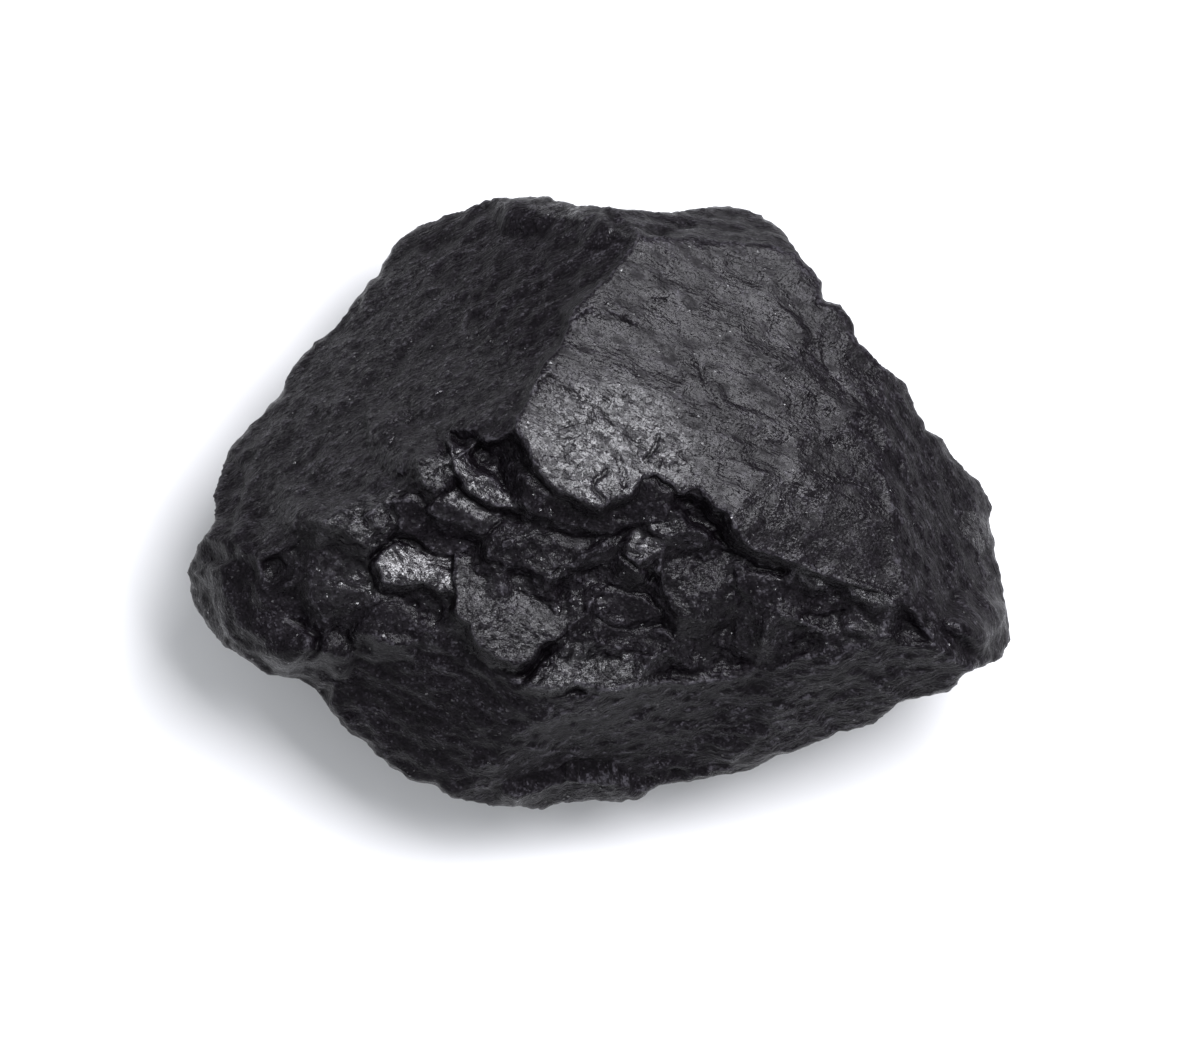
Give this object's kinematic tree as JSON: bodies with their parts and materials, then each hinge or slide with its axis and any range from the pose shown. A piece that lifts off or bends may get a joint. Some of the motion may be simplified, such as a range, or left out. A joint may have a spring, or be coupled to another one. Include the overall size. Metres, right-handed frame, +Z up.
{
  "type": "lump of coal",
  "caption": "Hand-sized angular lump of black coal with smooth cleavage faces, one rough broken slope of glossy shards, and a flat side to rest on.",
  "frame": {"origin": "centre of the bounding box, on the surface the lump rests on", "axes": "+X along the lump's longest side, +Y across it, away from the broken slope, +Z up through its summit"},
  "size_m": [0.1002, 0.0748, 0.0484],
  "materials": {
    "coal": "brittle black coal: dull satin cleavage faces and glassy broken shards"
  },
  "bodies": {
    "root": {"coal_lump": "coal"}
  },
  "joints": []
}
